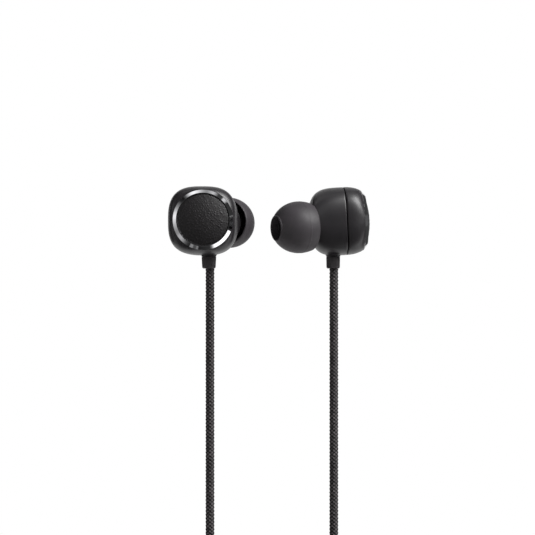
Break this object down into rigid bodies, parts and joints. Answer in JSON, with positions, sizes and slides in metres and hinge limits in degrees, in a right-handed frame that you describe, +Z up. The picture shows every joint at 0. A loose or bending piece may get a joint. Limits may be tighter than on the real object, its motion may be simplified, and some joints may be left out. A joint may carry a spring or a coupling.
{
  "type": "wired earphones",
  "caption": "In-ear earphones on braided cords, with leather caps, chrome rings and silicone tips, a splitter and a round jack plug.",
  "frame": {"origin": "midway between the two hanging cords, at the height of the buds, where the ears hold the pair", "axes": "+X towards the left bud, +Y away from the right cap, +Z up along the cords"},
  "size_m": [0.048, 0.0278, 0.1676],
  "materials": {
    "shell_plastic": "satin moulded",
    "ring_chrome": "polished",
    "pad_leather": "pebbled grain",
    "inner_plastic": "moulded",
    "relief_rubber": "matte",
    "stop_brass": "crimped",
    "mesh_steel": "woven, blackened",
    "tip_silicone": "satin",
    "driver_steel": "plated",
    "magnet_nickel": "nickel plated",
    "coil_copper": "enamelled wire",
    "diaphragm_film": "thin film",
    "board_laminate": "solder mask",
    "damper_felt": "felt",
    "wire_enamel": "enamel",
    "cord_braid": "braided",
    "tie_rubber": "matte",
    "splitter_plastic": "satin moulded",
    "plug_gold": "gold plated",
    "insulator_plastic": "moulded"
  },
  "bodies": {
    "root": {"right_inner_shell": "shell_plastic", "right_outer_shell": "shell_plastic", "right_trim_ring": "ring_chrome", "right_cap_plate": "inner_plastic", "right_leather_pad": "pad_leather", "right_strain_relief": "relief_rubber", "right_cord_stop": "stop_brass", "right_nozzle_mesh": "mesh_steel", "right_driver_baffle": "inner_plastic", "right_driver_cover": "driver_steel", "right_driver_frame": "inner_plastic", "right_driver_damper": "damper_felt", "right_driver_yoke": "driver_steel", "right_driver_magnet": "magnet_nickel", "right_driver_pole_plate": "driver_steel", "right_terminal_board": "board_laminate", "right_lead_wires": "wire_enamel", "left_inner_shell": "shell_plastic", "left_outer_shell": "shell_plastic", "left_trim_ring": "ring_chrome", "left_cap_plate": "inner_plastic", "left_leather_pad": "pad_leather", "left_strain_relief": "relief_rubber", "left_cord_stop": "stop_brass", "left_nozzle_mesh": "mesh_steel", "left_driver_baffle": "inner_plastic", "left_driver_cover": "driver_steel", "left_driver_frame": "inner_plastic", "left_driver_damper": "damper_felt", "left_driver_yoke": "driver_steel", "left_driver_magnet": "magnet_nickel", "left_driver_pole_plate": "driver_steel", "left_terminal_board": "board_laminate", "left_lead_wires": "wire_enamel", "left_cord": "cord_braid", "right_cord": "cord_braid", "left_cord_coil": "cord_braid", "right_cord_coil": "cord_braid", "left_cord_end": "cord_braid", "right_cord_end": "cord_braid", "main_cord_loop": "cord_braid", "main_cord_coil": "cord_braid", "main_cord_end": "cord_braid", "left_tie": "tie_rubber", "right_tie": "tie_rubber", "splitter_front": "splitter_plastic", "splitter_back": "splitter_plastic", "splitter_relief": "relief_rubber", "plug_relief": "relief_rubber", "plug_housing": "splitter_plastic", "plug_sleeve": "plug_gold", "plug_insulators": "insulator_plastic", "plug_ring": "plug_gold", "plug_tip": "plug_gold"},
    "right_tip": {"right_ear_tip": "tip_silicone"},
    "left_tip": {"left_ear_tip": "tip_silicone"},
    "right_diaphragm_group": {"right_diaphragm": "diaphragm_film", "right_voice_coil": "coil_copper"},
    "left_diaphragm_group": {"left_diaphragm": "diaphragm_film", "left_voice_coil": "coil_copper"}
  },
  "joints": [
    {"name": "right_tip_pull", "type": "slide", "parent": "root", "child": "right_tip", "axis": [0.3339, 0.9412, -0.0518], "range_m": [0, 0.008]},
    {"name": "left_tip_pull", "type": "slide", "parent": "root", "child": "left_tip", "axis": [-0.9049, -0.4225, -0.0518], "range_m": [0, 0.008]},
    {"name": "right_diaphragm_stroke", "type": "slide", "parent": "root", "child": "right_diaphragm_group", "axis": [-0.0436, 0.9975, -0.0558], "range_m": [-0.00015, 0.00015], "stiffness_N_per_m": 10},
    {"name": "left_diaphragm_stroke", "type": "slide", "parent": "root", "child": "left_diaphragm_group", "axis": [-0.9971, -0.0523, -0.0558], "range_m": [-0.00015, 0.00015], "stiffness_N_per_m": 10}
  ]
}
